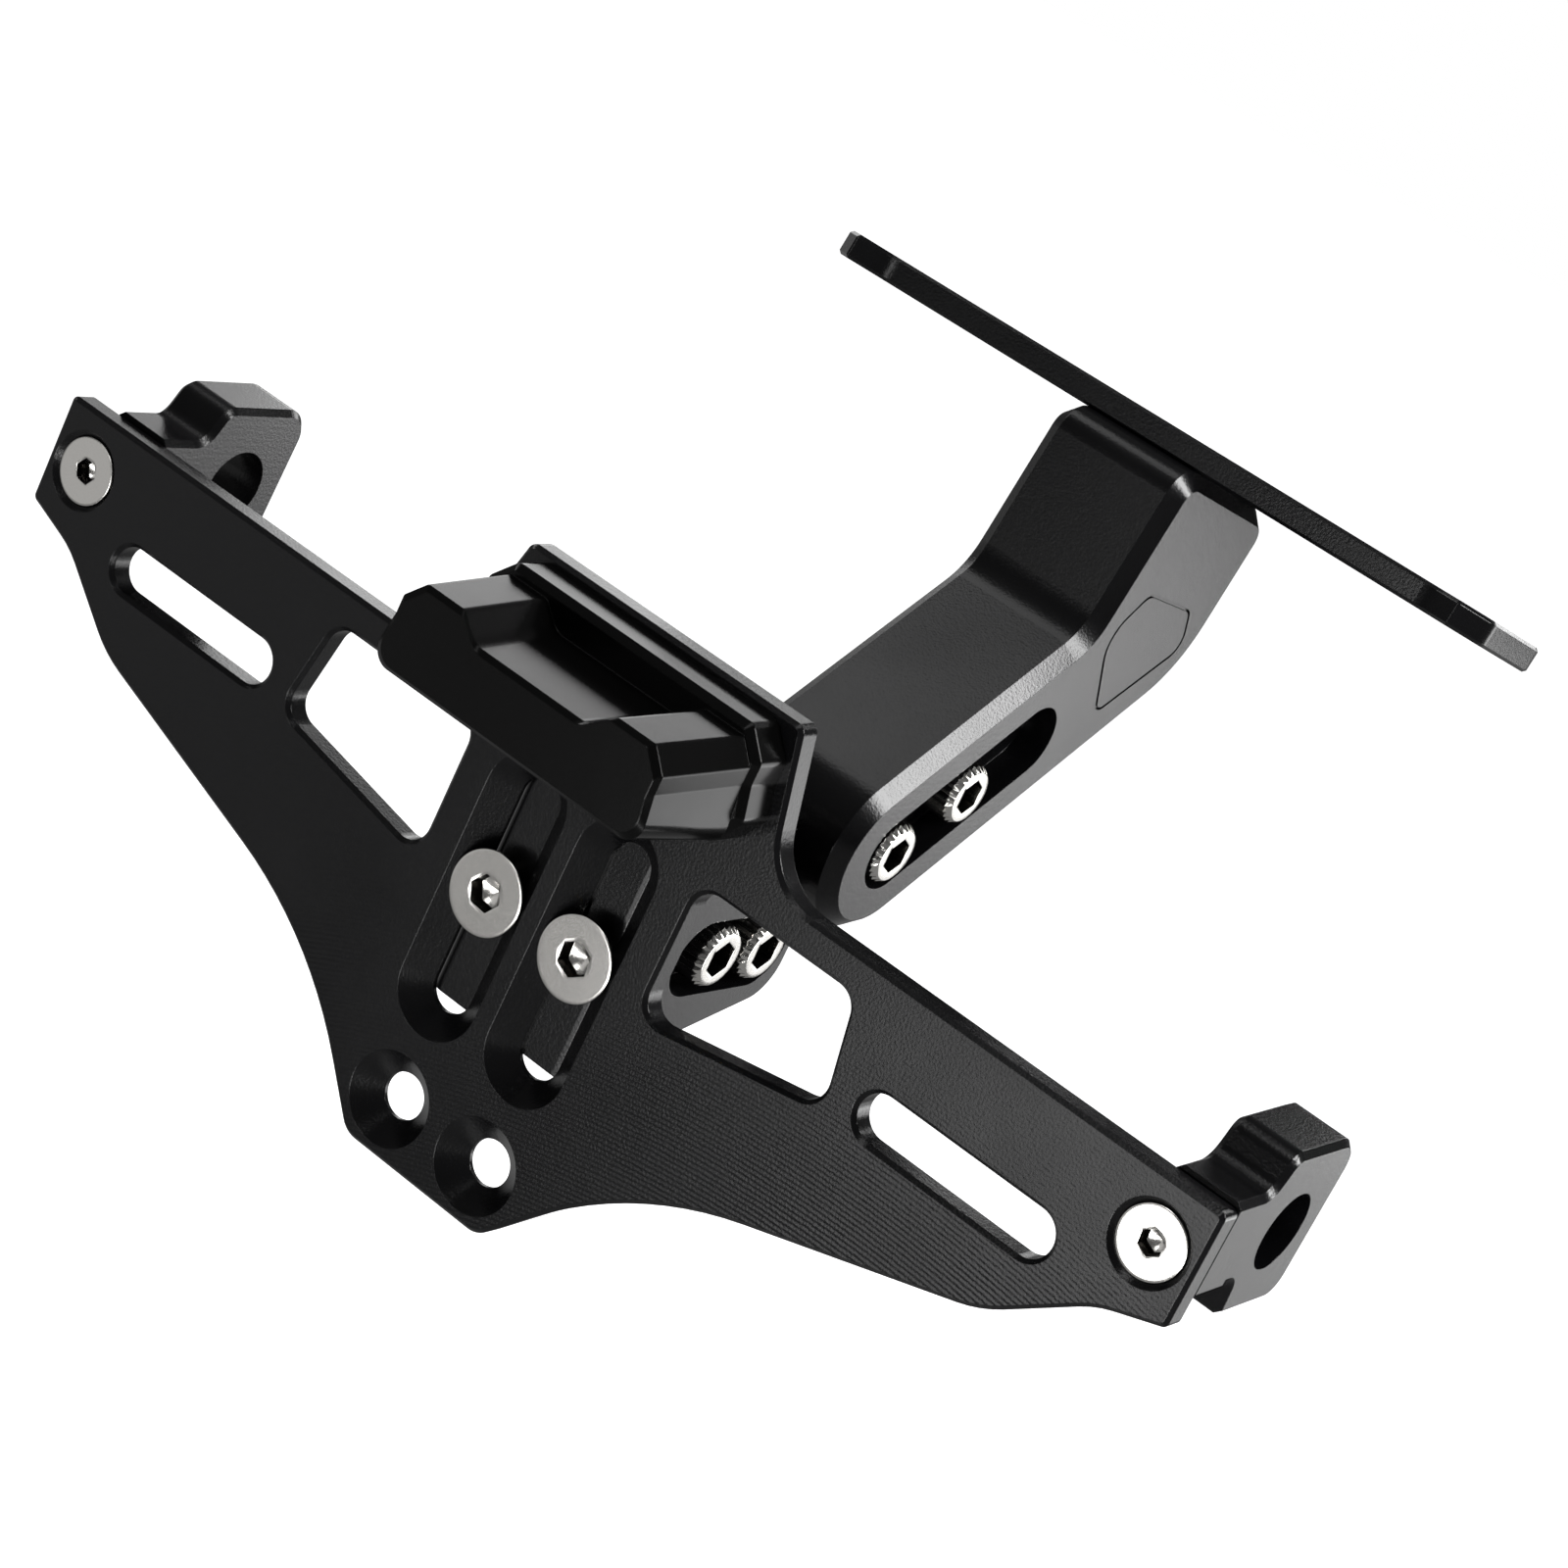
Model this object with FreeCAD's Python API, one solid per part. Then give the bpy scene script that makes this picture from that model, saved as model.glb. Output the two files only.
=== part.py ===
import FreeCAD, Part
import math
import os

from FreeCAD import Vector

# Licence plate holder for the tail of a motorbike, milled from aluminium.
# A wing plate carries the number plate, a plate light and two turn signal
# brackets. It slides up and down on a bracket, which is bolted to a bent link.
# The link slides in a slotted arm, and the arm hangs below a tail plate.
# X runs to the right along the wing plate, Y away from who reads the number
# plate, Z up. The origin is on the front face of the wing plate, half way
# between its two end screws.

# Wing plate
PLATE_THICK = 4.2
PLATE_HALF = 105.0
PLATE_TOP = 8.8
PLATE_END_BOTTOM = -8.0
SHOULDER_IN = 9.4
SHOULDER_DROP = 3.2
FLANK_RUN = 13.2
FLANK_DROP = 10.0
SHOULDER_RADIUS = 15.0
FLANK_RADIUS = 20.0
WAIST_HALF = 31.2
WAIST_Z = -36.8
WAIST_RADIUS = 62.0
FOOT_HALF = 12.8
FOOT_Z = -57.5
FOOT_RADIUS = 4.0
TOWER_HALF = 24.4
TOWER_TOP = 29.8
TOWER_FLARE = 5.4
TOWER_CORNER = 1.6
TOWER_FILLET = 10.0
END_CORNER = 1.0
EDGE_BREAK = 0.6
BACK_BREAK = 0.4

# Windows and long slots in the wings
WING_SLOT_FROM_END = 34.05
WING_SLOT_Z = -8.27
WING_SLOT_SPAN = 25.0
WING_SLOT_WIDTH = 7.0
WINDOW_IN = 20.7
WINDOW_TOP = 3.8
WINDOW_WALL_TOP = 7.45
WINDOW_WALL_LOW = 4.45
WINDOW_LOW_Z = -11.6
WINDOW_LOW_IN_Z = -16.9
WINDOW_RADIUS = 3.4

# Countersunk slots and holes in the middle
SLOT_X = 8.34
SLOT_LOW = -31.5
SLOT_HIGH = -1.5
HOLE_Z = -49.05
SINK_M6 = 13.86
THROUGH_M6 = 6.8
END_SCREW_FROM_END = 7.0
SINK_M5 = 11.8
THROUGH_M5 = 5.6

# Screws: thread, head width, head height, key width
M6 = 6.0
M6_SUNK_HEAD = 12.2
M6_SUNK_KEY = 4.0
M6_CAP_HEAD = 10.0
M6_CAP_HEIGHT = 6.0
M6_CAP_KEY = 5.0
M6_NUT = 10.0
M6_NUT_THICK = 5.0
M5 = 5.0
M5_SUNK_HEAD = 10.0
M5_SUNK_KEY = 3.0
M4 = 4.0
M4_BUTTON_HEAD = 7.6
M4_BUTTON_HEIGHT = 2.2
M4_BUTTON_KEY = 2.5
KEY_DEPTH = 2.8
THREAD_RELIEF = 1.0
SUNK_RIM = 0.4
SUNK_PLAY = 0.06
SHANK_PLAY = 0.3
PLATE_SCREW_Z = -15.65
PLATE_SCREW_LENGTH = 16.0
END_SCREW_LENGTH = 12.0
TAIL_SCREW_LENGTH = 14.0

# Bracket behind the wing plate
BODY_WIDTH = 25.2
TONGUE = 8.0
TONGUE_PLAY = 0.1
BRACKET_BOTTOM = -33.2
BRACKET_TOP = 1.9
BRACKET_BLOCK = 10.0
BRACKET_HEEL = 3.0
BRACKET_CORNER = 2.0
BRACKET_END_Y = 41.3
BRACKET_END_RADIUS = 7.5
BRACKET_BOLT_GAP = 11.7
BRACKET_SLOT_RUN = 16.0
BOLT_PROUD = 0.8
CAP_POCKET = 12.2

# Arm: the lower limb slopes, the upper limb stands square to the tail plate
ARM_SLOPE = 33.6
ARM_THICK = 26.4
ARM_END_Y = 65.4
ARM_END_Z = -2.2
ARM_BREAK = 2.3
ARM_BEND_RADIUS = 9.0
ARM_BACK_RADIUS = 22.0
ARM_TOP_RADIUS = 5.0
ARM_WEB = 5.0
ARM_SLOT_START = 1.0
ARM_SLOT_RUN = 31.5
ARM_BOLT_GAP = 16.5
ARM_HEAD_DEEP = 37.2
LINK_RADIUS = 6.8
CHANNEL_PLAY = 1.0
CHEEK_GROOVE_DEEP = 0.4
CHEEK_GROOVE_WIDE = 0.45

# Engraved outline in each side of the bend, in the plane of the tail plate:
# (distance forward, distance below it, corner radius)
CHEEK_GROOVE_CORNERS = [(16.1, 39.5, 2.2),
                        (4.5, 27.9, 6.0),
                        (10.2, 19.0, 3.5),
                        (27.1, 18.6, 2.5),
                        (32.2, 24.4, 3.5)]

# Tail plate, in its own plane: it falls away forward
TAIL_SLOPE = 12.5
TAIL_Y = 101.8
TAIL_Z = 62.0
TAIL_THICK = 4.2
TAIL_FRONT = 4.6
TAIL_HALF = 62.3
TAIL_HORN_IN = 4.7
TAIL_HORN = 1.2
TAIL_HORN_BACK = 6.6
TAIL_HORN_RADIUS = 3.0
TAIL_HORN_TIP = 0.5
TAIL_NECK_IN = 10.1
TAIL_SIDE_BACK = 32.0
TAIL_REAR_IN = 24.3
TAIL_REAR = 54.0
TAIL_RADIUS = 6.0
TAIL_BREAK = 0.5
TAIL_SCREW_X = 7.0
TAIL_SCREW_NEAR = 12.0
TAIL_SCREW_FAR = 27.0
TAIL_SLOT_IN = 14.3
TAIL_SLOT_U = 20.0
TAIL_SLOT_SPAN = 8.0
TAIL_SLOT_WIDTH = 6.6
TAIL_HOLE_X = 24.0
TAIL_HOLE_U = 44.0

# Plate light
LIGHT_FRONT = -26.0
LIGHT_SEAT = -7.0
LIGHT_BOTTOM = 13.0
LIGHT_TOP = 26.0
LIGHT_HALF = 24.0
LIGHT_BEVEL_HALF = 22.8
LIGHT_BEVEL_DROP = 3.1
LIGHT_WAIST_DROP = 5.8
LIGHT_SHOULDER_HALF = 20.0
LIGHT_DISH_OUT = 13.4
LIGHT_DISH_IN = 9.9
LIGHT_DISH_DEEP = 3.05
LIGHT_CORNER = 2.9
LIGHT_DISH_RADIUS = 3.0
LIGHT_RIM_RADIUS = 1.2
LIGHT_SHOULDER_RADIUS = 0.6
LIGHT_WAIST_RADIUS = 1.5
LIGHT_DRAFT = 0.85
LIGHT_EDGE = 0.7
FLANGE_TOP = 28.6
FLANGE_SHOULDER_HALF = 20.9
FLANGE_WAIST_HALF = 24.4
FLANGE_WAIST_TOP = 24.7
FLANGE_WAIST_LOW = 21.4
FLANGE_HALF = 25.7
FLANGE_HALF_Z = 16.6
FLANGE_FOOT_HALF = 22.5
FLANGE_BOTTOM = 11.8
FLANGE_BREAK = 1.0
LENS_LONG = 36.0
LENS_DEEP = 13.0
LENS_THICK = 2.0
LENS_LEDGE = 1.5
LAMP_Y = -16.5
CAVITY_TOP = 20.4
BOARD_THICK = 1.2
BOARD_PLAY = 0.5
LED_COUNT = 3
LED_SIZE = 3.2
LED_TALL = 1.5
LED_PITCH = 10.0
LIGHT_SCREW_X = 17.0
LIGHT_SCREW_Z = 19.5
LIGHT_SCREW_LENGTH = 10.0

# Turn signal brackets
SIGNAL_WIDE = 10.0
SIGNAL_TOP = 9.6
SIGNAL_HUMP = 15.1
SIGNAL_HUMP_START = 12.6
SIGNAL_HUMP_RUN = 2.5
SIGNAL_REAR_TOP = 34.2
SIGNAL_REAR_LOW = 32.6
SIGNAL_BOTTOM = -9.5
SIGNAL_NOTCH_TOP = -3.7
SIGNAL_NOTCH_BACK = 15.0
SIGNAL_NOTCH_LEAN = 1.0
SIGNAL_NOTCH_RADIUS = 2.5
SIGNAL_STEP_RADIUS = 3.0
SIGNAL_TOP_RADIUS = 4.5
SIGNAL_REAR_RADIUS = 4.0
SIGNAL_TOE_RADIUS = 1.0
SIGNAL_BREAK = 0.9
SIGNAL_BORE = 11.5
SIGNAL_BORE_Y = 22.7
SIGNAL_BORE_Z = 2.5
SIGNAL_FOOT_TOP = 5.0
SIGNAL_FOOT_DEEP = 7.5
SIGNAL_FOOT_SIDE = 6.5
SIGNAL_LEFT_FROM_END = 5.8

NEAR = 1e-5
X_AXIS = Vector(1, 0, 0)
Y_AXIS = Vector(0, 1, 0)
Z_AXIS = Vector(0, 0, 1)

slope = math.radians(ARM_SLOPE)
ARM_ALONG = Vector(0, math.cos(slope), math.sin(slope))
ARM_UP = Vector(0, -math.sin(slope), math.cos(slope))
tilt = math.radians(TAIL_SLOPE)
TAIL_ALONG = Vector(0, math.cos(tilt), -math.sin(tilt))
TAIL_UP = Vector(0, math.sin(tilt), math.cos(tilt))
TAIL_ORIGIN = Vector(0, TAIL_Y, TAIL_Z)
ARM_END = Vector(0, ARM_END_Y, ARM_END_Z)
CHEEK = BODY_WIDTH / 2
TONGUE_GAP = TONGUE / 2 + TONGUE_PLAY
POCKET_DEPTH = M6_CAP_HEIGHT - BOLT_PROUD


def on_front(y):
    """Places a drawing of (x, z) on the plane at this depth."""
    return lambda u, v: Vector(u, y, v)


def on_side(x):
    """Places a drawing of (y, z) on the plane at this x."""
    return lambda u, v: Vector(x, u, v)


def on_tail(height):
    """Places a drawing of (x, distance forward) on the sloping tail plane."""
    return lambda u, v: TAIL_ORIGIN + X_AXIS * u + TAIL_ALONG * v + TAIL_UP * height


def on_cheek(side):
    """Places (distance forward, distance below the tail plate) on a side of the arm."""
    return lambda u, v: on_tail(-v)(side * CHEEK, u)


def rounded_wire(corners, place):
    """Closed wire through corners (u, v, radius), with tangent arcs."""
    stations = []
    count = len(corners)
    for i, (u, v, radius) in enumerate(corners):
        corner = Vector(u, v, 0)
        back = Vector(*corners[i - 1][:2], 0) - corner
        ahead = Vector(*corners[(i + 1) % count][:2], 0) - corner
        back.normalize()
        ahead.normalize()
        half = back.getAngle(ahead) / 2
        if radius == 0:
            stations.append((corner, None, corner))
            continue
        reach = radius / math.tan(half)
        bisector = (back + ahead).normalize()
        middle = corner + bisector * (radius / math.sin(half) - radius)
        stations.append((corner + back * reach, middle, corner + ahead * reach))
    edges = []
    for i, (start, middle, end) in enumerate(stations):
        following = stations[(i + 1) % count][0]
        points = [place(p.x, p.y) for p in (start, end, following)]
        if middle is not None:
            arc = Part.Arc(points[0], place(middle.x, middle.y), points[1])
            edges.append(arc.toShape())
        if points[1].distanceToPoint(points[2]) > NEAR:
            edges.append(Part.makeLine(points[1], points[2]))
    return Part.Wire(edges)


def rounded_prism(corners, place, travel):
    return Part.Face(rounded_wire(corners, place)).extrude(travel)


def mirrored(corners):
    """Completes a right half, from top to bottom, with its left half."""
    return corners + [(-u, v, radius) for u, v, radius in reversed(corners)]


def stadium(centre, along, span, width, axis, depth):
    """Long hole: two round ends joined by straight sides."""
    radius = width / 2
    across = axis.cross(along).normalize() * radius
    ends = [centre - along * (span / 2), centre + along * (span / 2)]
    rounds = [Part.makeCylinder(radius, depth, end, axis) for end in ends]
    middle = Part.makePolygon([ends[0] - across, ends[1] - across, ends[1] + across,
                               ends[0] + across, ends[0] - across])
    return rounds[0].multiFuse([rounds[1], Part.Face(middle).extrude(axis * depth)]).removeSplitter()


def tapered_stadium(centre, along, span, wide, narrow, axis):
    """Countersink of a long hole, at 45 degrees from wide to narrow."""
    deep = (wide - narrow) / 2
    ends = [centre - along * (span / 2), centre + along * (span / 2)]
    cones = [Part.makeCone(wide / 2, narrow / 2, deep, end, axis) for end in ends]
    if span == 0:
        return cones[0]
    across = axis.cross(along).normalize()
    section = Part.makePolygon([ends[0] - across * (wide / 2),
                                ends[0] + across * (wide / 2),
                                ends[0] + across * (narrow / 2) + axis * deep,
                                ends[0] - across * (narrow / 2) + axis * deep,
                                ends[0] - across * (wide / 2)])
    wedge = Part.Face(section).extrude(along * span)
    return cones[0].multiFuse([cones[1], wedge]).removeSplitter()


def lies_across(edge, axis):
    """True if both ends of the edge lie in one plane square to the axis."""
    first, last = edge.Vertexes[0].Point, edge.Vertexes[-1].Point
    return abs((last - first).dot(axis)) < NEAR


def edges_in_plane(shape, point, normal):
    """Edges whose ends lie in the plane through the point."""
    return [edge for edge in shape.Edges
            if all(abs((vertex.Point - point).dot(normal)) < NEAR for vertex in edge.Vertexes)]


def hexagon(width, centre, axis, depth):
    """Six-sided prism, width across its flats."""
    side = Z_AXIS if abs(axis.z) < 0.9 else Y_AXIS
    across = axis.cross(side).normalize()
    side = across.cross(axis)
    reach = width / math.sqrt(3)
    turns = [math.radians(60 * i) for i in range(7)]
    ring = [centre + side * (reach * math.cos(t)) + across * (reach * math.sin(t)) for t in turns]
    return Part.Face(Part.makePolygon(ring)).extrude(axis * depth)


def sunk_screw(top, axis, thread, head, key, length):
    """Countersunk screw: top is the middle of its flat head, axis runs inwards."""
    cone = (head - thread) / 2
    body = Part.makeCylinder(head / 2, SUNK_RIM, top, axis)
    body = body.fuse(Part.makeCone(head / 2, thread / 2, cone, top + axis * SUNK_RIM, axis))
    body = body.fuse(Part.makeCylinder(thread / 2, length, top, axis))
    return body.removeSplitter().cut(hexagon(key, top, axis, KEY_DEPTH))


def cap_screw(seat, axis, length):
    """Socket cap screw: seat is the middle of the ring under its head."""
    rim = 0.5
    top = seat - axis * M6_CAP_HEIGHT
    head = Part.makeCylinder(M6_CAP_HEAD / 2, M6_CAP_HEIGHT - rim, seat, axis * -1)
    head = head.fuse(Part.makeCone(M6_CAP_HEAD / 2 - rim, M6_CAP_HEAD / 2, rim, top, axis))
    body = head.fuse(Part.makeCylinder(M6 / 2, length, seat, axis)).removeSplitter()
    return body.cut(hexagon(M6_CAP_KEY, top, axis, M6_CAP_HEIGHT / 2))


def hex_nut(seat, axis):
    """Nut that stands away from its seat along the axis."""
    nut = hexagon(M6_NUT, seat, axis, M6_NUT_THICK)
    return nut.cut(Part.makeCylinder(M6 / 2, M6_NUT_THICK, seat, axis))


def button_screw(seat, axis, length):
    """Button head screw: the head stands behind the seat, the thread runs along the axis."""
    top = seat - axis * M4_BUTTON_HEIGHT
    crown = Part.makeCone(M4_BUTTON_HEAD / 3, M4_BUTTON_HEAD / 2, M4_BUTTON_HEIGHT, top, axis)
    body = crown.fuse(Part.makeCylinder(M4 / 2, length, seat, axis)).removeSplitter()
    return body.cut(hexagon(M4_BUTTON_KEY, top, axis, M4_BUTTON_HEIGHT / 2))


def wing_slot_inner():
    return PLATE_HALF - WING_SLOT_FROM_END - (WING_SLOT_SPAN + WING_SLOT_WIDTH) / 2


def wing_plate():
    half = [(TOWER_HALF, TOWER_TOP, TOWER_CORNER),
            (TOWER_HALF + TOWER_FLARE, PLATE_TOP, TOWER_FILLET),
            (PLATE_HALF, PLATE_TOP, END_CORNER),
            (PLATE_HALF, PLATE_END_BOTTOM, END_CORNER),
            (PLATE_HALF - SHOULDER_IN, PLATE_END_BOTTOM - SHOULDER_DROP, SHOULDER_RADIUS),
            (PLATE_HALF - SHOULDER_IN - FLANK_RUN,
             PLATE_END_BOTTOM - SHOULDER_DROP - FLANK_DROP, FLANK_RADIUS),
            (WAIST_HALF, WAIST_Z, WAIST_RADIUS),
            (FOOT_HALF, FOOT_Z, FOOT_RADIUS)]
    thick = Y_AXIS * PLATE_THICK
    plate = rounded_prism(mirrored(half), on_front(0), thick)
    for side in (-1, 1):
        window = [(side * WINDOW_IN, WINDOW_TOP, WINDOW_RADIUS),
                  (side * (wing_slot_inner() - WINDOW_WALL_TOP), WINDOW_TOP, WINDOW_RADIUS),
                  (side * (wing_slot_inner() - WINDOW_WALL_LOW), WINDOW_LOW_Z, WINDOW_RADIUS),
                  (side * WINDOW_IN, WINDOW_LOW_IN_Z, WINDOW_RADIUS)]
        plate = plate.cut(rounded_prism(window, on_front(0), thick))
        centre = Vector(side * (PLATE_HALF - WING_SLOT_FROM_END), 0, WING_SLOT_Z)
        plate = plate.cut(stadium(centre, X_AXIS, WING_SLOT_SPAN, WING_SLOT_WIDTH,
                                  Y_AXIS, PLATE_THICK))
    plate = plate.makeChamfer(EDGE_BREAK, edges_in_plane(plate, Vector(), Y_AXIS))
    plate = plate.makeChamfer(BACK_BREAK, edges_in_plane(plate, thick, Y_AXIS))
    for side in (-1, 1):
        slot = Vector(side * SLOT_X, 0, (SLOT_LOW + SLOT_HIGH) / 2)
        hole = Vector(side * SLOT_X, 0, HOLE_Z)
        for centre, span in ((slot, SLOT_HIGH - SLOT_LOW), (hole, 0)):
            plate = plate.cut(tapered_stadium(centre, Z_AXIS, span, SINK_M6, THROUGH_M6, Y_AXIS))
            if span:
                through = stadium(centre, Z_AXIS, span, THROUGH_M6, Y_AXIS, PLATE_THICK)
            else:
                through = Part.makeCylinder(THROUGH_M6 / 2, PLATE_THICK, centre, Y_AXIS)
            plate = plate.cut(through)
        end = Vector(side * end_screw_x(), 0, 0)
        plate = plate.cut(tapered_stadium(end, Z_AXIS, 0, SINK_M5, THROUGH_M5, Y_AXIS))
        plate = plate.cut(Part.makeCylinder(THROUGH_M5 / 2, PLATE_THICK, end, Y_AXIS))
        light = Vector(side * LIGHT_SCREW_X, 0, LIGHT_SCREW_Z)
        plate = plate.cut(Part.makeCylinder(M4 / 2 + SHANK_PLAY, PLATE_THICK, light, Y_AXIS))
    return plate


def end_screw_x():
    return PLATE_HALF - END_SCREW_FROM_END


def sunk_depth(sink, head):
    """Depth of a flat head's top edge below the face of a 45 degree countersink."""
    return (sink - head) / 2 - SUNK_RIM


def plate_screw(side):
    top = Vector(side * SLOT_X, sunk_depth(SINK_M6, M6_SUNK_HEAD) - SUNK_PLAY, PLATE_SCREW_Z)
    return sunk_screw(top, Y_AXIS, M6, M6_SUNK_HEAD, M6_SUNK_KEY, PLATE_SCREW_LENGTH)


def signal_screw(side):
    top = Vector(side * end_screw_x(), sunk_depth(SINK_M5, M5_SUNK_HEAD), 0)
    return sunk_screw(top, Y_AXIS, M5, M5_SUNK_HEAD, M5_SUNK_KEY, END_SCREW_LENGTH)


def light_section(y, grow):
    """Section of the light's body: raised ends and a dished middle on top."""
    half = [(LIGHT_DISH_IN + grow, LIGHT_TOP - LIGHT_DISH_DEEP + grow, LIGHT_DISH_RADIUS),
            (LIGHT_DISH_OUT + grow, LIGHT_TOP + grow, LIGHT_RIM_RADIUS),
            (LIGHT_SHOULDER_HALF + grow, LIGHT_TOP + grow, LIGHT_SHOULDER_RADIUS),
            (LIGHT_BEVEL_HALF + grow, LIGHT_TOP - LIGHT_BEVEL_DROP + grow, LIGHT_SHOULDER_RADIUS),
            (LIGHT_BEVEL_HALF + grow, LIGHT_TOP - LIGHT_WAIST_DROP + grow, LIGHT_WAIST_RADIUS),
            (LIGHT_HALF + grow, LIGHT_BOTTOM - grow, LIGHT_CORNER)]
    return rounded_wire(mirrored(half), on_front(y))


def light_body():
    front = light_section(LIGHT_FRONT + LIGHT_EDGE, 0)
    back = light_section(LIGHT_SEAT, LIGHT_DRAFT)
    nose = light_section(LIGHT_FRONT, -LIGHT_EDGE)
    body = Part.makeLoft([front, back], True, True)
    body = body.fuse(Part.makeLoft([nose, front], True, True))
    rim = [(FLANGE_SHOULDER_HALF, FLANGE_TOP, LIGHT_WAIST_RADIUS),
           (FLANGE_WAIST_HALF, FLANGE_WAIST_TOP, LIGHT_WAIST_RADIUS),
           (FLANGE_WAIST_HALF, FLANGE_WAIST_LOW, LIGHT_WAIST_RADIUS),
           (FLANGE_HALF, FLANGE_HALF_Z, LIGHT_WAIST_RADIUS),
           (FLANGE_FOOT_HALF, FLANGE_BOTTOM, LIGHT_WAIST_RADIUS)]
    flange = rounded_prism(mirrored(rim), on_front(LIGHT_SEAT), Y_AXIS * -LIGHT_SEAT)
    face = Y_AXIS * LIGHT_SEAT
    flange = flange.makeChamfer(FLANGE_BREAK, edges_in_plane(flange, face, Y_AXIS))
    body = body.fuse(flange).removeSplitter()
    cavity_long = LENS_LONG - 2 * LENS_LEDGE
    cavity_deep = LENS_DEEP - 2 * LENS_LEDGE
    cavity = Part.makeBox(cavity_long, cavity_deep, CAVITY_TOP - LIGHT_BOTTOM + LIGHT_DRAFT,
                          Vector(-cavity_long / 2, LAMP_Y - cavity_deep / 2,
                                 LIGHT_BOTTOM - LIGHT_DRAFT))
    body = body.cut(cavity).cut(lens_block())
    for side in (-1, 1):
        centre = Vector(side * LIGHT_SCREW_X, 0, LIGHT_SCREW_Z)
        reach = LIGHT_SCREW_LENGTH - PLATE_THICK
        body = body.cut(Part.makeCylinder(M4 / 2, reach, centre, Y_AXIS * -1))
    return body


def lens_block():
    """Pocket of the lens, open below."""
    return Part.makeBox(LENS_LONG, LENS_DEEP, LENS_THICK + LIGHT_DRAFT,
                        Vector(-LENS_LONG / 2, LAMP_Y - LENS_DEEP / 2, LIGHT_BOTTOM - LIGHT_DRAFT))


def light_lens():
    return Part.makeBox(LENS_LONG, LENS_DEEP, LENS_THICK,
                        Vector(-LENS_LONG / 2, LAMP_Y - LENS_DEEP / 2, LIGHT_BOTTOM))


def light_board():
    long = LENS_LONG - 2 * (LENS_LEDGE + BOARD_PLAY)
    deep = LENS_DEEP - 2 * (LENS_LEDGE + BOARD_PLAY)
    corner = Vector(-long / 2, LAMP_Y - deep / 2, CAVITY_TOP - BOARD_THICK)
    return Part.makeBox(long, deep, BOARD_THICK, corner)


def light_leds():
    first = -(LED_COUNT - 1) / 2 * LED_PITCH
    leds = []
    for i in range(LED_COUNT):
        corner = Vector(first + i * LED_PITCH - LED_SIZE / 2, LAMP_Y - LED_SIZE / 2,
                        CAVITY_TOP - BOARD_THICK - LED_TALL)
        leds.append(Part.makeBox(LED_SIZE, LED_SIZE, LED_TALL, corner))
    return Part.makeCompound(leds)


def light_screw(side):
    seat = Vector(side * LIGHT_SCREW_X, PLATE_THICK, LIGHT_SCREW_Z)
    return button_screw(seat, Y_AXIS * -1, LIGHT_SCREW_LENGTH)


def signal_bracket(inner, side):
    """Fin with a cross bore for the signal, and a foot behind the wing plate."""
    front = PLATE_THICK
    screw_x = side * end_screw_x()
    corners = [(front, SIGNAL_TOP, 0),
               (SIGNAL_HUMP_START, SIGNAL_TOP, SIGNAL_STEP_RADIUS),
               (SIGNAL_HUMP_START + SIGNAL_HUMP_RUN, SIGNAL_HUMP, SIGNAL_STEP_RADIUS),
               (SIGNAL_REAR_TOP, SIGNAL_HUMP, SIGNAL_TOP_RADIUS),
               (SIGNAL_REAR_LOW, SIGNAL_BOTTOM, SIGNAL_REAR_RADIUS),
               (SIGNAL_NOTCH_BACK + SIGNAL_NOTCH_LEAN, SIGNAL_BOTTOM, SIGNAL_TOE_RADIUS),
               (SIGNAL_NOTCH_BACK, SIGNAL_NOTCH_TOP, SIGNAL_NOTCH_RADIUS),
               (front, SIGNAL_NOTCH_TOP, 0)]
    wide = X_AXIS * SIGNAL_WIDE
    fin = rounded_prism(corners, on_side(inner), wide)
    upper_rim = [edge for edge in fin.Edges
                 if lies_across(edge, X_AXIS)
                 and max(v.Point.y for v in edge.Vertexes) > front
                 and max(v.Point.z for v in edge.Vertexes) > SIGNAL_NOTCH_TOP]
    fin = fin.makeChamfer(SIGNAL_BREAK, upper_rim)
    low = min(inner, screw_x - SIGNAL_FOOT_SIDE)
    high = inner + SIGNAL_WIDE
    foot = Part.makeBox(high - low, SIGNAL_FOOT_DEEP, SIGNAL_FOOT_TOP - SIGNAL_NOTCH_TOP,
                        Vector(low, front, SIGNAL_NOTCH_TOP))
    shape = fin.fuse(foot).removeSplitter()
    bore = Vector(inner, SIGNAL_BORE_Y, SIGNAL_BORE_Z)
    shape = shape.cut(Part.makeCylinder(SIGNAL_BORE / 2, SIGNAL_WIDE, bore, X_AXIS))
    thread = Vector(screw_x, front, 0)
    return shape.cut(Part.makeCylinder(M5 / 2, END_SCREW_LENGTH, thread, Y_AXIS))


def bolt_pockets(centre, along, run):
    """Long pockets for the bolt heads and for the nuts, and the slot between them."""
    right = centre + X_AXIS * (CHEEK - POCKET_DEPTH)
    left = centre - X_AXIS * (CHEEK - POCKET_DEPTH)
    heads = stadium(right, along, run, CAP_POCKET, X_AXIS, POCKET_DEPTH)
    nuts = stadium(left, along, run, CAP_POCKET, X_AXIS * -1, POCKET_DEPTH)
    slot = stadium(centre - X_AXIS * CHEEK, along, run, M6 + 2 * SHANK_PLAY, X_AXIS, BODY_WIDTH)
    return [heads, nuts, slot]


def bracket_bolts():
    """Middles of the two bolts that hold the bracket to the link."""
    last = Vector(0, BRACKET_END_Y, PLATE_SCREW_Z)
    return [last - Y_AXIS * BRACKET_BOLT_GAP, last]


def arm_bolts():
    """Middles of the two bolts that hold the link in the arm, at the low end of its slot."""
    first = ARM_END + ARM_ALONG * ARM_SLOT_START
    return [first, first + ARM_ALONG * ARM_BOLT_GAP]


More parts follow.
